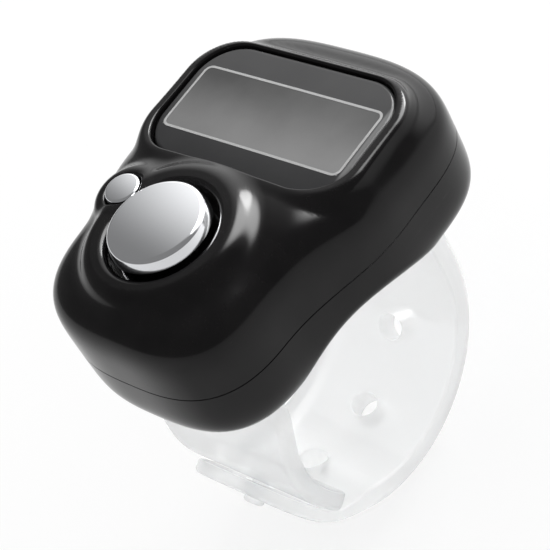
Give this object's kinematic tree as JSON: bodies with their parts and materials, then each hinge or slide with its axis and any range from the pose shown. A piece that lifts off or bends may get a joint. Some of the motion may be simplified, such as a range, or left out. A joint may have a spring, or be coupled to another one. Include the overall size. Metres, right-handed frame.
{
  "type": "digital tasbih counter",
  "caption": "Finger-worn electronic tally counter with a display window, a count button, a reset button and a clear adjustable strap.",
  "frame": {"origin": "centre of the finger loop, midway across the strap", "axes": "+X along the finger and along the long side of the display, +Y towards the display end, +Z out through the display"},
  "size_m": [0.0276, 0.0364, 0.0403],
  "materials": {
    "housing": "glossy black moulded ABS",
    "lens": "smoked acrylic window",
    "print": "white printed line",
    "gasket": "black double-sided foam tape",
    "display_glass": "clear display glass",
    "polariser": "grey polarising film",
    "white_plastic": "natural white moulding",
    "connector_rubber": "striped conductive silicone rubber",
    "board": "green solder mask on glass fibre board",
    "resin": "black epoxy blob",
    "components": "ceramic chip parts",
    "switch_plastic": "black moulded switch body",
    "cell_steel": "nickel plated steel can",
    "contact_metal": "plated phosphor bronze",
    "screw_steel": "zinc plated steel",
    "chrome": "bright chrome plate",
    "strap": "clear milky soft vinyl"
  },
  "bodies": {
    "case": {"top_cover": "housing", "bottom_cover": "housing", "lens": "lens", "lens_outline": "print", "lens_gasket": "gasket", "display_front_glass": "display_glass", "display_rear_glass": "display_glass", "front_polariser": "polariser", "rear_polariser": "polariser", "display_frame": "white_plastic", "rubber_connector": "connector_rubber", "circuit_board": "board", "chip_blob": "resin", "board_parts": "components", "count_switch": "switch_plastic", "reset_switch": "switch_plastic", "button_cell": "cell_steel", "battery_positive_clip": "contact_metal", "battery_negative_contact": "contact_metal", "board_screws": "screw_steel", "case_screws": "screw_steel", "rear_strap": "strap", "front_strap": "strap"},
    "count_key": {"count_button": "chrome"},
    "reset_key": {"reset_button": "chrome"},
    "count_stem": {"count_plunger": "white_plastic"},
    "reset_stem": {"reset_plunger": "white_plastic"},
    "tail": {"strap_tail": "strap"}
  },
  "joints": [
    {"name": "count_press", "type": "slide", "parent": "case", "child": "count_key", "axis": [0, 0, -1], "range_m": [0, 0.0006], "stiffness_N_per_m": 800},
    {"name": "reset_press", "type": "slide", "parent": "case", "child": "reset_key", "axis": [0, 0, -1], "range_m": [0, 0.0005], "stiffness_N_per_m": 600},
    {"name": "count_stem_slide", "type": "slide", "parent": "case", "child": "count_stem", "axis": [0, 0, -1], "range_m": [0, 0.0006]},
    {"name": "reset_stem_slide", "type": "slide", "parent": "case", "child": "reset_stem", "axis": [0, 0, -1], "range_m": [0, 0.0005]},
    {"name": "strap_peel", "type": "hinge", "parent": "case", "child": "tail", "pos_m": [0, -0.0091, -0.01362], "axis": [1, 0, 0], "range_deg": [0, 45], "stiffness_Nm_per_rad": 0.01}
  ],
  "couplings": [
    {"joint": "count_stem_slide", "follows": "count_press", "ratio": 1},
    {"joint": "reset_stem_slide", "follows": "reset_press", "ratio": 1}
  ]
}
